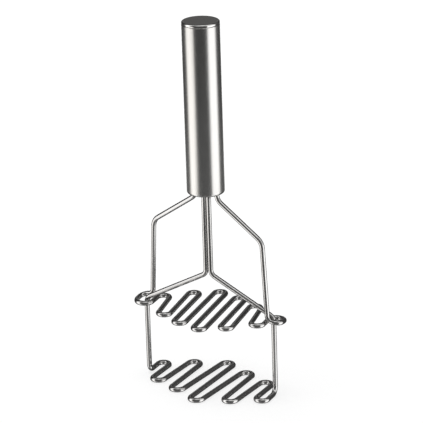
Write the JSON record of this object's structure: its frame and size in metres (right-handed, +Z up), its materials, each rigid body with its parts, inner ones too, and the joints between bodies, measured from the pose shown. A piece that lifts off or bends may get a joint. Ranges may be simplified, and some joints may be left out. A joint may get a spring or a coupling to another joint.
{
  "type": "potato masher",
  "caption": "Upright masher with a fixed zigzag wire grid, a sprung zigzag wire grid sliding below it and a tubular steel handle.",
  "frame": {"origin": "on the floor, under the middle of the handle, with the masher standing on its lower grid", "axes": "+Z up along the handle, +X across the frames from eye to eye, +Y along the grid wires away from the front"},
  "size_m": [0.1344, 0.0876, 0.3003],
  "materials": {
    "brushed_tube": "brushed lengthwise",
    "brushed_cap": "brushed with a bright edge",
    "nylon": "moulded nylon",
    "plain_steel": "stamped",
    "spring_steel": "drawn wire",
    "polished_wire": "polished stainless steel"
  },
  "bodies": {
    "lower_masher": {"lower_frame": "polished_wire", "slider": "nylon", "spring_washer": "plain_steel"},
    "handle": {"handle_tube": "brushed_tube", "end_cap": "brushed_cap", "top_plug": "nylon", "guide_bush": "nylon", "arm_retainer": "plain_steel", "upper_frame": "polished_wire", "spring": "spring_steel"}
  },
  "joints": [
    {"name": "press", "type": "slide", "parent": "lower_masher", "child": "handle", "axis": [0, 0, -1], "range_m": [0, 0.055], "stiffness_N_per_m": 250, "springref_m": -0.03, "deforming": ["spring"]}
  ]
}
